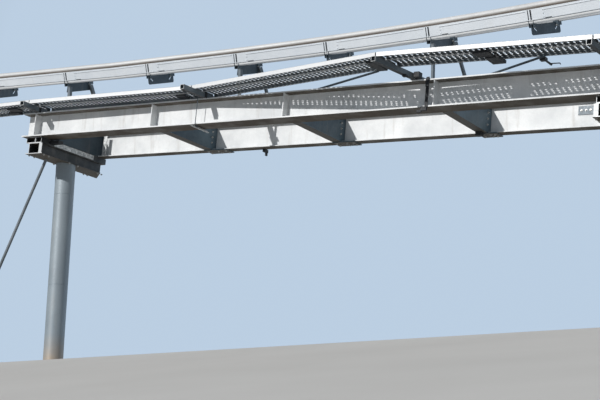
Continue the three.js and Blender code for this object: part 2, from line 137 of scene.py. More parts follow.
# Nodes of a material, linked by name
class Nodes:
    def __init__(self, name):
        self.material = bpy.data.materials.new(name)
        self.material.use_nodes = True
        self.tree = self.material.node_tree
        self.shader = self.tree.nodes["Principled BSDF"]
        self.coordinates = self.add("ShaderNodeTexCoord").outputs["Object"]

    def add(self, kind):
        return self.tree.nodes.new(kind)

    def link(self, a, b):
        self.tree.links.new(a, b)

    def noise(self, scale, detail=4.0, rough=0.55, stretch=None):
        node = self.add("ShaderNodeTexNoise")
        node.inputs["Scale"].default_value = scale
        node.inputs["Detail"].default_value = detail
        node.inputs["Roughness"].default_value = rough
        source = self.coordinates
        if stretch:
            mapping = self.add("ShaderNodeMapping")
            mapping.inputs["Scale"].default_value = stretch
            self.link(source, mapping.inputs["Vector"])
            source = mapping.outputs["Vector"]
        self.link(source, node.inputs["Vector"])
        return node.outputs["Fac"]

    def spread(self, value, low, high, to_low=0.0, to_high=1.0):
        node = self.add("ShaderNodeMapRange")
        node.inputs["From Min"].default_value = low
        node.inputs["From Max"].default_value = high
        node.inputs["To Min"].default_value = to_low
        node.inputs["To Max"].default_value = to_high
        self.link(value, node.inputs["Value"])
        return node.outputs["Result"]

    def times(self, a, b):
        node = self.add("ShaderNodeMath")
        node.operation = "MULTIPLY"
        self.link(a, node.inputs[0])
        if isinstance(b, float):
            node.inputs[1].default_value = b
        else:
            self.link(b, node.inputs[1])
        return node.outputs[0]

    def blend(self, factor, a, b):
        node = self.add("ShaderNodeMix")
        node.data_type = "RGBA"
        self.link(factor, node.inputs["Factor"])
        for socket, value in ((node.inputs[6], a), (node.inputs[7], b)):
            if isinstance(value, tuple):
                socket.default_value = (*value, 1.0)
            else:
                self.link(value, socket)
        return node.outputs[2]

    # One axis of the surface's normal, and the height above the ground, as shares from 0 to 1
    def facing(self, axis, start, end):
        parts = self.add("ShaderNodeSeparateXYZ")
        self.link(self.add("ShaderNodeNewGeometry").outputs["Normal"], parts.inputs[0])
        return self.spread(parts.outputs[axis], start, end)

    def height(self, low, high):
        parts = self.add("ShaderNodeSeparateXYZ")
        self.link(self.coordinates, parts.inputs[0])
        return self.spread(parts.outputs["Z"], low, high)

    # Soft clouds, the crystal cells of a zinc coat, and rain streaks down the height
    def clouds(self, scale):
        return self.spread(self.noise(scale, 6.0, 0.62), 0.36, 0.66)

    def spangle(self, scale):
        node = self.add("ShaderNodeTexVoronoi")
        node.inputs["Scale"].default_value = scale
        self.link(self.coordinates, node.inputs["Vector"])
        return self.spread(node.outputs["Distance"], 0.0, 0.8, 0.0, 0.22)

    def rain_runs(self):
        return self.spread(self.noise(1.0, 5.0, 0.6, (9.0, 9.0, 1.1)), 0.56, 0.74)

    # Fine pits in the surface
    def pits(self):
        bump = self.add("ShaderNodeBump")
        bump.inputs["Strength"].default_value = 0.12
        bump.inputs["Distance"].default_value = 0.002
        self.link(self.noise(160.0, 3.0, 0.6), bump.inputs["Height"])
        self.link(bump.outputs["Normal"], self.shader.inputs["Normal"])


# Weathered metal: cloudy tone, spangle and rain streaks, with painted shade on the underside, brown
# in some tones for light reflected from the ground, and a painted lit face towards the near side
def metal(name, light, dark, metallic=0.25, rough=(0.42, 0.62), painted_underside=None, painted_underside_share=1.0,
          streak=0.25, stain=(0.36, 0.32, 0.27), spangle_scale=55.0, cloud=1.6, foot=None,
          painted_underside_from=-0.25, painted_lit_near_face=None):
    n = Nodes(name)
    colour = n.blend(n.clouds(cloud), dark, light)
    colour = n.blend(n.spangle(spangle_scale), colour, tuple(0.72 * c for c in light))
    colour = n.blend(n.times(n.rain_runs(), streak), colour, stain)
    # Painted shade: faces turned down take the darker underside tone, in patches, and lose their
    # shine
    if painted_underside:
        patchy = n.spread(n.noise(3.2, 4.0, 0.6), 0.2, 0.55, 0.84, 1.0)
        painted_underside_mask = n.times(n.times(n.facing("Z", painted_underside_from, painted_underside_from - 0.5), patchy), painted_underside_share)
        colour = n.blend(painted_underside_mask, colour, painted_underside)
        n.link(n.spread(painted_underside_mask, 0.0, 1.0, metallic, 0.0), n.shader.inputs["Metallic"])
        n.link(n.spread(painted_underside_mask, 0.0, 1.0, 0.5, 0.06), n.shader.inputs["Specular IOR Level"])
    else:
        n.shader.inputs["Metallic"].default_value = metallic
    # Painted light and shade: faces turned to the near side take a light, sunlit tone, the others
    # keep the darker, shaded one
    if painted_lit_near_face:
        colour = n.blend(n.facing("Y", -0.6, -0.9), colour, painted_lit_near_face)
    if foot:
        splash = n.spread(n.noise(5.0, 5.0, 0.6), 0.3, 0.7, 0.55, 1.0)
        colour = n.blend(n.times(n.height(0.42, 0.02), splash), colour, foot)
    n.link(colour, n.shader.inputs["Base Color"])
    grain = n.noise(38.0, 5.0, 0.6)
    n.link(n.spread(grain, 0.3, 0.7, rough[0], rough[1]), n.shader.inputs["Roughness"])
    n.pits()
    return n.material


# Steel of the bridge
# Painted ground bounce: this brown on undersides stands for shade lit by light reflected from the
# sunlit ground
PAINTED_UNDERSIDE_BROWN = (0.105, 0.092, 0.076)
beam = metal("galvanised_beam_looks", (0.93, 0.94, 0.94), (0.69, 0.71, 0.72), painted_underside=PAINTED_UNDERSIDE_BROWN,
             streak=0.34, cloud=1.9, metallic=0.10, rough=(0.58, 0.74))
# Cross-beams: painted shade, a dark blue tone for webs turned away from the key light
painted_shade_crossbeam = metal("galvanised_painted_shade_looks", (0.115, 0.175, 0.215), (0.050, 0.080, 0.105),
              painted_underside=PAINTED_UNDERSIDE_BROWN, streak=0.22, painted_underside_share=0.9)
# End diaphragms: painted shade, darker still
painted_shade_end = metal("end_diaphragm_painted_shade_looks", (0.060, 0.095, 0.120), (0.028, 0.046, 0.062),
                 painted_underside=PAINTED_UNDERSIDE_BROWN, streak=0.2, painted_underside_share=0.9)
# Crossheads and packing rails: painted shade on the body, with a painted lit tone on the faces to
# the near side
head = metal("crosshead_looks", (0.085, 0.090, 0.092), (0.030, 0.036, 0.040), painted_underside=PAINTED_UNDERSIDE_BROWN,
             streak=0.15, cloud=5.0, painted_lit_near_face=(0.62, 0.64, 0.65))
rail_steel = metal("packing_rail_looks", (0.100, 0.105, 0.108), (0.036, 0.042, 0.046),
                   painted_underside=PAINTED_UNDERSIDE_BROWN, streak=0.15, cloud=7.0, painted_lit_near_face=(0.66, 0.68, 0.69))
mottled = metal("mottled_plate_looks", (0.86, 0.87, 0.86), (0.22, 0.24, 0.25), streak=0.3,
                cloud=26.0)
column_paint = metal("column_looks", (0.36, 0.42, 0.46), (0.27, 0.32, 0.36), metallic=0.15,
                     streak=0.25, foot=(0.46, 0.36, 0.26), cloud=1.2)

# Walkway and stands
# Planks: light on top, with painted shade on their undersides
bright = metal("plank_looks", (0.92, 0.93, 0.93), (0.84, 0.85, 0.86),
               painted_underside=(0.055, 0.070, 0.082), streak=0.12, metallic=0.15)
# Inner face of the plank sheet: painted shade
plank_inside_painted_shade = metal("plank_inside_painted_shade_looks", (0.150, 0.175, 0.195), (0.080, 0.100, 0.115),
                     streak=0.2, metallic=0.1)
# Sleepers, outriggers and clamp rods: painted shade, a dark blue-grey tone
painted_shade_plate = metal("painted_shade_plate_looks", (0.115, 0.150, 0.180), (0.055, 0.080, 0.100), streak=0.2,
             painted_underside=(0.05, 0.06, 0.07), metallic=0.3)
# Stand legs, raking stays and the web plate: painted shade, a dark blue-grey tone
painted_shade_steel = metal("leg_looks", (0.24, 0.27, 0.30), (0.10, 0.13, 0.15), streak=0.25,
                  painted_underside=(0.07, 0.08, 0.085))
# Bearers: painted shade on the body, with a painted lit tone on the near ends
bearer_steel = metal("bearer_looks", (0.19, 0.225, 0.25), (0.10, 0.125, 0.145), streak=0.3,
                     painted_underside=(0.07, 0.075, 0.08), painted_lit_near_face=(0.70, 0.72, 0.72))

# Track
# Tubes and side panels: painted shade on their undersides
run_steel = metal("running_tube_looks", (0.90, 0.89, 0.88), (0.78, 0.78, 0.77),
                  painted_underside=(0.200, 0.170, 0.145), streak=0.1, rough=(0.3, 0.45), painted_underside_from=-0.12)
guide_steel = metal("guide_tube_looks", (0.90, 0.90, 0.89), (0.80, 0.81, 0.81),
                    painted_underside=(0.62, 0.64, 0.66), painted_underside_share=0.7, streak=0.1)
panel = metal("panel_looks", (0.86, 0.90, 0.94), (0.76, 0.81, 0.86), metallic=0.05,
              painted_underside=(0.40, 0.40, 0.40), streak=0.16, stain=(0.55, 0.54, 0.50), cloud=2.6)

# Small parts
# Black for the clamps, saddles and hook, and as painted shade for the panels' slits
black_and_slit_shade = metal("black_clamp_and_slit_shade_looks", (0.035, 0.038, 0.042), (0.015, 0.017, 0.020),
              metallic=0.05, rough=(0.5, 0.75), streak=0.1)
zinc = metal("bolt_looks", (0.62, 0.62, 0.60), (0.42, 0.42, 0.41), metallic=0.5,
             rough=(0.3, 0.5), streak=0.15, spangle_scale=200.0)

# Finish of each CAD node, by how its name starts
FINISHES = [
    ("girder", beam),
    ("crossbeam", painted_shade_crossbeam),
    ("end_diaphragm", painted_shade_end),
    ("crosshead", head),
    ("packing_rail", rail_steel),
    ("raking_stay", painted_shade_steel),
    ("column", column_paint),
    ("bearer", bearer_steel),
    ("walkway_planks", bright),
    ("walkway_outrigger", painted_shade_plate),
    ("running_tube", run_steel),
    ("guide_tube", guide_steel),
    ("side_panel", panel),
    ("sleeper", painted_shade_plate),
    ("stand_leg", painted_shade_steel),
]
for node_name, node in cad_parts.items():
    for start, finish in FINISHES:
        if node_name.startswith(start):
            if node.material_slots:
                for slot in node.material_slots:
                    slot.material = finish
            else:
                node.data.materials.append(finish)


# Points and faces of many small forms gathered into one mesh
class Batch:
    def __init__(self):
        self.points = []
        self.faces = []

    def add(self, points, faces, matrix=None):
        first = len(self.points)
        for point in points:
            point = Vector(point)
            self.points.append(matrix @ point if matrix else point)
        self.faces.extend([first + i for i in face] for face in faces)

    def block(self, x0, x1, y0, y1, z0, z1, matrix=None):
        points = [(x, y, z) for x in (x0, x1) for y in (y0, y1) for z in (z0, z1)]
        faces = [(0, 1, 3, 2), (4, 6, 7, 5), (0, 4, 5, 1), (2, 3, 7, 6), (0, 2, 6, 4), (1, 5, 7, 3)]
        self.add(points, faces, matrix)

    # A skin over rings of equal count, closed at both ends
    def loft(self, rings, matrix=None):
        sides = len(rings[0])
        points = [point for ring in rings for point in ring]
        faces = [tuple(reversed(range(sides)))]
        for i in range(len(rings) - 1):
            a, b = i * sides, (i + 1) * sides
            for k in range(sides):
                j = (k + 1) % sides
                faces.append((a + k, a + j, b + j, b + k))
        faces.append(tuple(range(len(points) - sides, len(points))))
        self.add(points, faces, matrix)

    def prism(self, radius, low, high, sides, matrix=None):
        turns = [2 * math.pi * k / sides for k in range(sides)]
        self.loft([
            [(radius * math.cos(turn), radius * math.sin(turn), z) for turn in turns]
            for z in (low, high)
        ], matrix)

    # A hexagon head on a washer, with its axis along the matrix's Z
    def bolt(self, matrix, size):
        washer = 0.003
        self.prism(1.15 * size, 0.0, washer, 16, matrix)
        self.prism(0.88 * size, washer, washer + 0.7 * size, 6, matrix)
        self.prism(0.5 * size, washer, washer + 1.15 * size, 10, matrix)

    def bolt_at(self, place_at, turn, size):
        self.bolt(Matrix.Translation(place_at) @ turn, size)

    def rod(self, start, end, radius, sides=12):
        start = Vector(start)
        run = Vector(end) - start
        turn = Vector((0, 0, 1)).rotation_difference(run).to_matrix().to_4x4()
        self.prism(radius, 0.0, run.length, sides, Matrix.Translation(start) @ turn)

    # A bent round bar through a list of points
    def bent_rod(self, path, radius, sides=10):
        path = [Vector(point) for point in path]
        rings = []
        for i, point in enumerate(path):
            ahead = path[min(i + 1, len(path) - 1)] - path[max(i - 1, 0)]
            turn = Vector((0, 0, 1)).rotation_difference(ahead.normalized()).to_matrix()
            rings.append([
                point + turn @ Vector((radius * math.cos(2 * math.pi * k / sides),
                                       radius * math.sin(2 * math.pi * k / sides), 0))
                for k in range(sides)
            ])
        self.loft(rings)


# A batch as one piece of the scene, given in the deck's frame unless a matrix says otherwise
def place(name, batch, material, smooth=False, replaced=(), matrix=DECK, solid=0.0,
          inside=None, bevel=0.0):
    mesh = bpy.data.meshes.new(name)
    mesh.from_pydata([tuple(matrix @ p) for p in batch.points], [], batch.faces)
    mesh.materials.append(material)
    mesh.update()
    if smooth:
        mesh.shade_smooth()
        mesh.set_sharp_from_angle(angle=math.radians(35))
    piece = bpy.data.objects.new(name, mesh)
    bpy.context.scene.collection.objects.link(piece)
    if solid:
        thick = piece.modifiers.new("sheet", "SOLIDIFY")
        thick.thickness = solid
        thick.offset = -1.0
        mesh.materials.append(inside)
        thick.material_offset = 1
    if bevel:
        soft = piece.modifiers.new("soft edges", "BEVEL")
        soft.width = bevel
        soft.segments = 2
        soft.limit_method = "ANGLE"
    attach(piece, "root")
    if replaced:
        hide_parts(*replaced)


# A point of the track: along the near running tube, across to the far side, up from it
def track_point(along, across, up):
    turned = max(0.0, along) / BEND_RADIUS
    side = across * math.cos(BANK) - up * math.sin(BANK)
    rise = across * math.sin(BANK) + up * math.cos(BANK)
    height = (TRACK_HEIGHT + APPROACH_FALL * max(0.0, APPROACH_END - along)
              + TRACK_CLIMB * along - DROP_RATE * max(0.0, along) ** 2)
    x = BEND_START[0] + min(0.0, along) + BEND_RADIUS * math.sin(turned)
    y = BEND_START[1] - BEND_RADIUS * (1 - math.cos(turned))
    return Vector((x + side * math.sin(turned), y + side * math.cos(turned), height + rise))


# The track's own axes at a distance along it: X across, Y up, Z along
def track_frame(along, across, up):
    origin = track_point(along, across, up)
    ahead = (track_point(along + 0.01, across, up) - track_point(along - 0.01, across, up))
    ahead.normalize()
    side = (track_point(along, across + 0.1, up) - origin).normalized()
    rise = (track_point(along, across, up + 0.1) - origin).normalized()
    matrix = Matrix((side, rise, ahead)).transposed().to_4x4()
    matrix.translation = origin
    return matrix


# Smooth open-ended tube along the track
def track_tube(name, node, across, up, radius, material):
    steps, sides, wall, open_depth = 110, 40, 0.004, 0.09
    stops = [(TRACK_START + open_depth, radius - wall), (TRACK_START, radius - wall)]
    for step in range(steps + 1):
        stops.append((TRACK_START + (TRACK_END - TRACK_START) * step / steps, radius))
    stops += [(TRACK_END, radius - wall), (TRACK_END - open_depth, radius - wall)]
    turns = [2 * math.pi * k / sides for k in range(sides)]
    batch = Batch()
    batch.loft([
        [track_point(along, across + size * math.cos(turn), up + size * math.sin(turn))
         for turn in turns]
        for along, size in stops
    ])
    place(name, batch, material, smooth=True, replaced=(node,))


# Bolts of the sleepers' brackets, of their hanging plates and of the stands' tops
def track_bolts():
    bracket_bolt, plate_bolt, stand_bolt = 0.010, 0.009, 0.013
    bolts = Batch()
    for index, along in enumerate(SLEEPERS):
        for across, hand in ((0.0, 1), (GAUGE, -1)):
            for side, turn in ((-1, DOWN), (1, UP)):
                face = Matrix.Translation((0, 0, side * BRACKET_FACE)) @ turn
                for up in (-0.070, -0.115):
                    spot = track_frame(along, across + hand * 0.004, up)
                    bolts.bolt(spot @ face, bracket_bolt)
            face = Matrix.Translation((0, 0, PLATE_FACE))
            for shift in (0.012, 0.034):
                spot = track_frame(along, across + hand * shift, -0.225)
                bolts.bolt(spot @ face, plate_bolt)
        if index in STAND_SLEEPERS:
            back = Matrix.Translation((0, 0, -PLATE_FACE)) @ DOWN
            for across in (0.022, GAUGE - 0.022):
                bolts.bolt(track_frame(along, across, -0.275) @ back, stand_bolt)
    place("track_bolts", bolts, zinc)


# The folded lip that runs along a side panel's top from one bracket to the next
def panel_lip(lips, start, end, outer, hand):
    count = max(2, int((end - start) / 0.09))
    rings = []
    for step in range(count + 1):
        share = step / count
        along = start + (end - start) * share
        up = -0.0455 - 0.007 * (1 - share)
        rings.append([
            track_point(along, outer + hand * proud, up + rise)
            for proud, rise in ((0.0005, -0.0028), (0.0075, -0.0015), (0.0060, 0.0020),
                                (0.0005, 0.0015))
        ])
    lips.loft(rings)


# Side panels: a light rib in each bracket's window, a bolted joint strap behind it, a lip, and a
# black strip of painted shade for a slit
def panel_details():
    panel_middle, strap_after, slit_after, strap_face = -0.09, 0.185, 0.245, 0.0022
    straps = Batch()
    lips = Batch()
    slit_shades = Batch()
    for outer, hand in ((-PANEL_FACE, -1), (GAUGE + PANEL_FACE, 1)):
        outward = Matrix.Rotation(hand * math.pi / 2, 4, "Y")
        for along, following in zip(SLEEPERS, SLEEPERS[1:] + [TRACK_END + 0.04]):
            rib = track_frame(along, outer, panel_middle)
            straps.block(-0.006, 0.003, -0.060, 0.060, -0.009, 0.009, rib)
            start = along + strap_after
            strap = track_frame(start, outer, panel_middle)
            straps.block(-strap_face, strap_face, -0.058, 0.052, -0.016, 0.016, strap)
            for up in (-0.042, 0.0, 0.038):
                face = Matrix.Translation((hand * strap_face, up, 0))
                straps.bolt(strap @ face @ outward, 0.006)
            panel_lip(lips, start, following - 0.05, outer, hand)
            # Painted shade: a black strip stands for the dark inside of a slit
            slit = track_frame(along + slit_after, outer + hand * 0.0008, -0.146)
            slit_shades.block(-0.0012, 0.0012, -0.0035, 0.0035, -0.045, 0.045, slit)
    place("panel_straps", straps, panel)
    place("panel_lips", lips, panel)
    place("panel_slit_shades", slit_shades, black_and_slit_shade)


# Heading of a stretch of the walkway, the end stretches repeated past the ends
def heading_of(index):
    index = min(max(index, 0), len(CORNERS) - 2)
    (x0, y0), (x1, y1) = CORNERS[index], CORNERS[index + 1]
    return math.atan2(y1 - y0, x1 - x0)


# One cell of a perforated sheet: an oblong hole with a collar pressed down around it
def hole_cell(batch, x0, x1, y0, y1, z):
    corners = [(x0, y0), (x1, y0), (x1, y1), (x0, y1)]
    points = []
    for a, b in zip(corners, corners[1:] + corners[:1]):
        for third in range(3):
            share = third / 3
            points.append((a[0] + (b[0] - a[0]) * share, a[1] + (b[1] - a[1]) * share, z))
    middle_x, middle_y = (x0 + x1) / 2, (y0 + y1) / 2
    for taper, drop in ((0.0, 0.0), (COLLAR_TAPER, COLLAR_DEPTH)):
        wide = HOLE_HALF_WIDTH - taper
        long = HOLE_HALF_LENGTH - taper
        for k in range(HOLE_SIDES):
            angle = -0.75 * math.pi + 2 * math.pi * k / HOLE_SIDES
            points.append((middle_x + wide * math.cos(angle), middle_y + long * math.sin(angle),
                           z - drop))
    faces = []
    for first in (0, HOLE_SIDES):
        for k in range(HOLE_SIDES):
            j = (k + 1) % HOLE_SIDES
            faces.append((first + k, first + j, first + HOLE_SIDES + j, first + HOLE_SIDES + k))
    batch.add(points, faces)


# One perforated plank with mitred ends, its near edge at a distance across the walkway
def plank(sheet, near, length, start_turn, end_turn):
    far = near + PLANK_WIDTH
    top = PLANK_DEPTH
    starts = {edge: PLANK_END_GAP + edge * math.tan(start_turn) for edge in (near, far)}
    ends = {edge: length - PLANK_END_GAP - edge * math.tan(end_turn) for edge in (near, far)}
    first = max(starts.values()) + PLAIN_END
    last = min(ends.values()) - PLAIN_END
    count = int((last - first) / HOLE_PITCH)
    last = first + count * HOLE_PITCH

    # Rows of holes, with a plain margin along both edges
    row_width = (PLANK_WIDTH - 2 * ROW_MARGIN) / HOLE_ROWS
    for row in range(HOLE_ROWS):
        low = near + ROW_MARGIN + row * row_width
        for cell in range(count):
            at = first + cell * HOLE_PITCH
            hole_cell(sheet, at, at + HOLE_PITCH, low, low + row_width, top)
    for low, high in ((near, near + ROW_MARGIN), (far - ROW_MARGIN, far)):
        sheet.add([(first, low, top), (last, low, top), (last, high, top), (first, high, top)],
                  [(0, 1, 2, 3)])

    # Plain ends
    sheet.add([(starts[near], near, top), (first, near, top), (first, far, top),
               (starts[far], far, top)], [(0, 1, 2, 3)])
    sheet.add([(last, near, top), (ends[near], near, top), (ends[far], far, top),
               (last, far, top)], [(0, 1, 2, 3)])

    # Flanges down both edges, with a small return along their feet
    walkway_edges = (0.0, 2 * PLANK_WIDTH + PLANK_GAP)
    for edge, inward, faces in ((near, 1, [(1, 0, 3, 2), (2, 3, 4, 5)]),
                                (far, -1, [(0, 1, 2, 3), (3, 2, 5, 4)])):
        a, b = starts[edge], ends[edge]
        back = edge + inward * FLANGE_RETURN
        foot = 0.0 if edge in walkway_edges else PLANK_DEPTH - INNER_FLANGE
        sheet.add([(a, edge, top), (b, edge, top), (b, edge, foot), (a, edge, foot),
                   (a, back, foot), (b, back, foot)], faces)


# Clips that tie the two planks of a stretch together from below
def plank_clips(index, length, local):
    clips = Batch()
    for share in (0.2, 0.5, 0.8):
        middle = share * length
        clips.block(middle - 0.03, middle + 0.03, PLANK_WIDTH - 0.012,
                    PLANK_WIDTH + PLANK_GAP + 0.012, 0.016, 0.024, local)
        for across in (PLANK_WIDTH - 0.02, PLANK_WIDTH + PLANK_GAP + 0.02):
            spot = Matrix.Translation((middle, across, 0.016))
            clips.bolt(local @ spot @ DOWN, 0.008)
    place("plank_clips_%d" % (index + 1), clips, zinc)


# A pair of planks from one corner of the walkway to the next
def walkway_stretch(index):
    (x0, y0), (x1, y1) = CORNERS[index], CORNERS[index + 1]
    heading = heading_of(index)
    length = math.hypot(x1 - x0, y1 - y0)
    start_turn = (heading - heading_of(index - 1)) / 2
    end_turn = (heading_of(index + 1) - heading) / 2
    local = Matrix.Translation((x0, y0, BEARER_TOP + SEAT)) @ Matrix.Rotation(heading, 4, "Z")
    sheet = Batch()
    for near in (0.0, PLANK_WIDTH + PLANK_GAP):
        plank(sheet, near, length, start_turn, end_turn)
    sheet.points = [local @ p for p in sheet.points]
    place("planks_%d" % (index + 1), sheet, bright,
          replaced=("walkway_planks_%d" % (index + 1),), solid=PLANK_SHEET,
          inside=plank_inside_painted_shade)
    plank_clips(index, length, local)


# Smooth round column with faint pipe joints, its top cut to the deck's slope
def column(side, label):
    top = DECK @ Vector((side * SUPPORT_X, 0, -SUPPORT_DEPTH - SEAT))

    def rim(radius, height=None):
        ring = []
        for k in range(COLUMN_SIDES):
            turn = 2 * math.pi * k / COLUMN_SIDES
            x = top.x + radius * math.cos(turn)
            z = top.z - math.tan(FALL) * (x - top.x) if height is None else height
            ring.append(Vector((x, radius * math.sin(turn), z)))
        return ring

    clear_of_top = 0.2
    rings = [rim(COLUMN_RADIUS, 0.0)]
    for joint in COLUMN_JOINTS:
        if joint < top.z - clear_of_top:
            rings += [
                rim(COLUMN_RADIUS, joint - JOINT_HALF),
                rim(COLUMN_RADIUS - GROOVE_DEPTH, joint - GROOVE_HALF),
                rim(COLUMN_RADIUS - GROOVE_DEPTH, joint + GROOVE_HALF),
                rim(COLUMN_RADIUS, joint + JOINT_HALF),
            ]
    rings.append(rim(COLUMN_RADIUS))
    batch = Batch()
    batch.loft(rings)
    place("shaft_" + label, batch, column_paint, smooth=True,
          replaced=("column_" + label,), matrix=Matrix.Identity(4))


# Weld beads along the girders' stiffeners
def weld_beads():
    radius, flange_face = 0.004, 0.0175
    beads = Batch()
    for side, half in GIRDERS:
        face = side * (GIRDER_Y + WEB_FACE)
        edge = side * (GIRDER_Y + half - 0.012)
        for station in range(-2, 3):
            for hand in (-1, 1):
                x = station * STATION + hand * 0.0065
                beads.rod((x, face, 0.02), (x, face, GIRDER_DEPTH - 0.02), radius, 8)
                for z in (flange_face, GIRDER_DEPTH - flange_face):
                    beads.rod((x, face, z), (x, edge, z), radius, 8)
    place("weld_beads", beads, beam, smooth=True)


# Bolts through the seat plates, the cross-beams' ends, the crossheads and the web plate
def frame_bolts():
    seat_bolt, end_bolt, crosshead_bolt, web_bolt = 0.013, 0.012, 0.014, 0.012
    bolts = Batch()
    for station, reach in zip((-1, 0, 1), (0.370, 0.330, 0.250)):
        x = station * STATION
        for shift in (0.045, reach / 2 + 0.03, reach - 0.04):
            for y in (GIRDER_Y - 0.045, GIRDER_Y + 0.045):
                bolts.bolt_at((x + shift, y, -0.0124), DOWN, seat_bolt)
        for z in (0.09, 0.165, 0.24):
            for y in (-0.43, 0.47):
                bolts.bolt_at((x + 0.1302, y, z), RIGHTWARD, end_bolt)
    for support in (-SUPPORT_X, SUPPORT_X):
        for reach, row in ((0.135, (-0.60, -0.50, 0.53, 0.61)), (0.145, (-0.09, 0.09))):
            for y in row:
                for x in (support - reach, support + reach):
                    bolts.bolt_at((x, y, -SUPPORT_DEPTH), DOWN, crosshead_bolt)
    for x in (3.31, 3.365, 3.42):
        bolts.bolt_at((x, 0.5720, 0.218), NEARWARD, web_bolt)
    place("frame_bolts", bolts, zinc)


# Where a bearer crosses a given line across the bridge
def on_bearer(index, y):
    x0, y0, heading = BEARERS[index]
    return x0 + (y - y0) * math.tan(heading)


# Clamps that hold the bearers down: a saddle and a bolt, and a hooked rod at the second bearer
def bearer_clamps():
    hooked_bearer, near_rod_x, ear_top = 1, -1.290, 0.0665
    saddles = Batch()
    rods = Batch()
    for index, (_, _, heading) in enumerate(BEARERS):
        for side, half in GIRDERS:
            y = side * (GIRDER_Y + half + 0.012)
            x = on_bearer(index, y)
            local = Matrix.Translation((x, y, GIRDER_DEPTH)) @ Matrix.Rotation(-heading, 4, "Z")

            # Plate over the bearer, a leg down each side, and an ear that takes the bolt
            saddles.block(-0.040, 0.040, -0.018, 0.018, 0.0605, 0.0685, local)
            for leg in (-0.034, 0.034):
                saddles.block(leg - 0.004, leg + 0.004, -0.018, 0.018, -0.004, 0.066, local)
            saddles.block(-0.068, -0.034, -0.014, 0.014, 0.058, ear_top, local)
            rod_x = x - 0.055
            rods.bolt_at((rod_x, y, GIRDER_DEPTH + ear_top), UP, 0.009)
            if index == hooked_bearer:
                if side < 0:
                    rod_x = near_rod_x
                rods.bent_rod([
                    (rod_x, y - side * inward, z)
                    for inward, z in ((0.0, GIRDER_DEPTH + 0.075), (0.0, 0.02), (0.0, -0.010),
                                      (0.008, -0.024), (0.022, -0.030), (0.045, -0.024),
                                      (0.050, -0.012))
                ], 0.005)
    place("bearer_saddles", saddles, black_and_slit_shade, bevel=0.0015)
    place("clamp_rods", rods, painted_shade_plate, smooth=True)


# Black strap, hooks and joint pieces seen at the girders' edges and under the planks
def black_clamps():
    clamps = Batch()

    # Strap down the near girder's edge, with its hook at the foot
    left, right = 1.945, 1.985
    clamps.block(left, right, -0.722, -0.7135, -0.012, 0.352)
    clamps.block(left, right, -0.722, -0.640, 0.3315, 0.340)
    clamps.block(left, right, -0.735, -0.7225, 0.235, 0.335)
    clamps.block(left - 0.035, right - 0.004, -0.745, -0.7135, -0.050, -0.002)
    clamps.block(left - 0.085, left - 0.030, -0.740, -0.716, -0.066, -0.036)

    # Clamp under the far girder at the second bearer
    far_rod = on_bearer(1, GIRDER_Y + FAR_HALF) - 0.055
    clamps.block(far_rod - 0.015, far_rod + 0.020, 0.600, 0.690, -0.045, -0.001)
    clamps.block(far_rod - 0.010, far_rod + 0.012, 0.655, 0.690, -0.085, -0.040)

    # Lumps beside and under the third bearer
    landing = on_bearer(2, -0.76)
    clamps.block(landing + 0.035, landing + 0.105, -0.80, -0.715, 0.335, 0.400)
    clamps.block(landing - 0.03, landing + 0.02, -0.95, -0.90, 0.305, 0.330)

    # Joint pieces under the planks: ranges of x and y, and the underside
    for x0, x1, y0, y1, low in (
        (2.790, 2.975, -1.310, -1.150, 0.366),
        (2.865, 3.020, -1.150, -0.930, 0.352),
        (1.490, 1.600, -1.330, -1.010, 0.366),
        (-1.610, -1.480, -0.780, -0.640, 0.366),
        (-4.610, -4.430, -0.700, -0.600, 0.352),
        (-4.520, -4.330, -0.830, -0.700, 0.366),
    ):
        clamps.block(x0, x1, y0, y1, low, BEARER_TOP - 0.0015)

    # Dark box hung beside the left crosshead, and a small one under the third cross-beam
    clamps.block(-3.945, -3.780, -0.510, -0.415, -0.064, -0.020)
    clamps.block(2.055, 2.130, 0.395, 0.475, -0.055, -0.0015)
    place("black_clamps", clamps, black_and_slit_shade, bevel=0.003)


# Mottled plates on the inner packing rails, and light flats by the far girder's ends
def light_plates():
    rail_face, flat_start = SUPPORT_X - 0.1185, 3.800
    plates = Batch()
    for side in (-1, 1):
        x0, x1 = sorted((side * rail_face, side * (rail_face - 0.004)))
        plates.block(x0, x1, -0.40, 0.42, -0.074, -0.008)
        x0, x1 = sorted((side * flat_start, side * (flat_start + 0.060)))
        plates.block(x0, x1, 0.488, 0.496, 0.0, 0.300)
    place("light_plates", plates, mottled, bevel=0.001)


# Plate bolted to the inner face of the far girder's web, in the dark tone of painted shade
def web_plate():
    plate = Batch()
    plate.block(3.270, 3.460, 0.5720, 0.5785, 0.165, 0.270)
    place("web_plate", plate, painted_shade_steel, bevel=0.001)


# Angle bar hung under the near girder
def hung_angle():
    left, right, low = -1.347, -1.317, -0.030
    angle = Batch()
    angle.block(left, right, -0.735, -0.380, low, low + 0.0055)
    angle.block(left, left + 0.005, -0.735, -0.380, low, -0.0015)
    place("hung_angle", angle, mottled)


# Hook bracket between the walkway and the near girder on the right
def walkway_hook():
    bracket = Batch()
    bracket.rod((3.42, -0.905, 0.388), (3.49, -0.80, 0.335), 0.012)
    bracket.block(3.40, 3.47, -0.93, -0.87, 0.355, BEARER_TOP - 0.0005)
    bracket.bent_rod([(3.47, -0.82, 0.345), (3.53, -0.80, 0.350), (3.575, -0.79, 0.352),
                      (3.585, -0.79, 0.338)], 0.006)
    place("walkway_hook", bracket, black_and_slit_shade, smooth=True)


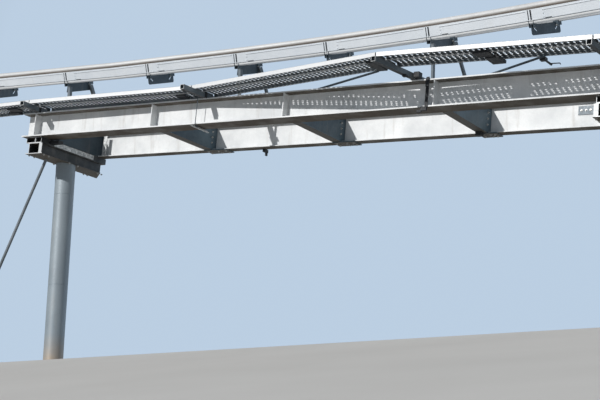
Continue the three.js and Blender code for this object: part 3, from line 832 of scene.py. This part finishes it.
# Bolts on the feet of the stands: the near legs stand upright, the far legs on their far end
def foot_bolts():
    spacing, foot_half, foot_top = 0.045, 0.065, BEARER_TOP + 0.0106
    bolts = Batch()
    for index in STAND_SLEEPERS:
        for label in ("near", "far"):
            low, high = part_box("stand_leg_%d_%s" % (index + 1, label))
            foot = DECK.inverted() @ ((low + high) / 2)
            if label == "far":
                foot.y += 0.5 * (high.y - low.y) - foot_half
            for x in (foot.x - spacing, foot.x + spacing):
                for y in (foot.y - spacing, foot.y + spacing):
                    bolts.bolt_at((x, y, foot_top), UP, 0.008)
    place("foot_bolts", bolts, zinc)


# The whole part
track_tube("tube_run_near", "running_tube_near", 0.0, 0.0, RUN_RADIUS, run_steel)
track_tube("tube_run_far", "running_tube_far", GAUGE, 0.0, RUN_RADIUS, run_steel)
track_tube("tube_guide_near", "guide_tube_near", 0.0, -TUBE_DROP, GUIDE_RADIUS, guide_steel)
track_tube("tube_guide_far", "guide_tube_far", GAUGE, -TUBE_DROP, GUIDE_RADIUS, guide_steel)
track_bolts()
panel_details()
for stretch in range(len(CORNERS) - 1):
    walkway_stretch(stretch)
column(-1, "left")
column(1, "right")
weld_beads()
frame_bolts()
bearer_clamps()
black_clamps()
light_plates()
web_plate()
hung_angle()
walkway_hook()
foot_bolts()


# Stage: pale ground, level around the columns and sloping away towards the camera
def stage_floor():
    xs = [-60 + 2.0 * i for i in range(61)]
    ys = [-40.0, -20.0, -14.0, -8.0, -4.0, -2.0, -1.0, -0.8, -0.68, -0.61, -0.54, -0.47, -0.40,
          0.0, 1.5, 3.0, 30.0]
    crest, bend, slope = -0.40, 0.28, 0.205

    def level(y):
        beyond = max(0.0, crest - y)
        if beyond < bend:
            return -slope * beyond * beyond / (2 * bend)
        return -slope * (beyond - bend / 2)

    points = [(x, y, level(y)) for y in ys for x in xs]
    count = len(xs)
    faces = [
        (r * count + c, r * count + c + 1, (r + 1) * count + c + 1, (r + 1) * count + c)
        for r in range(len(ys) - 1) for c in range(count - 1)
    ]
    mesh = bpy.data.meshes.new("stage_floor")
    mesh.from_pydata(points, [], faces)
    mesh.shade_smooth()
    n = Nodes("stage_floor_looks")
    tone = n.blend(n.spread(n.noise(0.5, 3.0), 0.3, 0.7), (0.62, 0.59, 0.55), (0.66, 0.63, 0.59))
    n.link(tone, n.shader.inputs["Base Color"])
    n.shader.inputs["Roughness"].default_value = 0.9
    mesh.materials.append(n.material)
    floor = bpy.data.objects.new("stage_floor", mesh)
    bpy.context.scene.collection.objects.link(floor)
    return floor


stage_floor()


# Surround: dim behind the camera and pale behind the part
def surround():
    dim, pale = (0.150, 0.180, 0.215, 1.0), (0.50, 0.62, 0.76, 1.0)
    dim_until, pale_from = 0.35, 0.66
    world = bpy.data.worlds.new("studio")
    world.use_nodes = True
    nodes, links = world.node_tree.nodes, world.node_tree.links
    background = nodes["Background"]
    background.inputs["Strength"].default_value = 1.0
    direction = nodes.new("ShaderNodeTexCoord")
    axes = nodes.new("ShaderNodeSeparateXYZ")
    share = nodes.new("ShaderNodeMapRange")
    share.inputs["From Min"].default_value = dim_until
    share.inputs["From Max"].default_value = pale_from
    tones = nodes.new("ShaderNodeMix")
    tones.data_type = "RGBA"
    tones.inputs[6].default_value = dim
    tones.inputs[7].default_value = pale
    links.new(direction.outputs["Generated"], axes.inputs[0])
    links.new(axes.outputs["Y"], share.inputs["Value"])
    links.new(share.outputs["Result"], tones.inputs["Factor"])
    links.new(tones.outputs[2], background.inputs["Color"])
    bpy.context.scene.world = world


# Key light from the left of the camera
def key_light():
    travel = Vector((0.25, 1.0, -0.48))
    data = bpy.data.lights.new("key", "SUN")
    data.energy = 2.75
    data.angle = math.radians(0.9)
    data.color = (1.0, 0.985, 0.965)
    key = bpy.data.objects.new("key", data)
    key.rotation_euler = travel.to_track_quat("-Z", "Y").to_euler()
    bpy.context.scene.collection.objects.link(key)


# Camera at the photograph's place, below the deck on the falling ground
def photo_camera():
    position = (12.74449, -13.863, -2.0661)
    right = Vector((0.84652, 0.53182, 0.02376))
    above = Vector((0.10492, -0.21044, 0.97196))
    ahead = Vector((-0.52191, 0.82030, 0.23394))
    data = bpy.data.cameras.new("camera")
    data.sensor_fit = "HORIZONTAL"
    data.sensor_width = 36.0
    data.lens = 81.576
    data.clip_end = 300.0
    camera = bpy.data.objects.new("camera", data)
    turn = Matrix((right, above, -ahead)).transposed().to_4x4()
    camera.matrix_world = Matrix.Translation(position) @ turn
    bpy.context.scene.collection.objects.link(camera)
    bpy.context.scene.camera = camera


surround()
key_light()
photo_camera()
bpy.context.scene.view_settings.view_transform = "Standard"

bpy.context.view_layer.update()
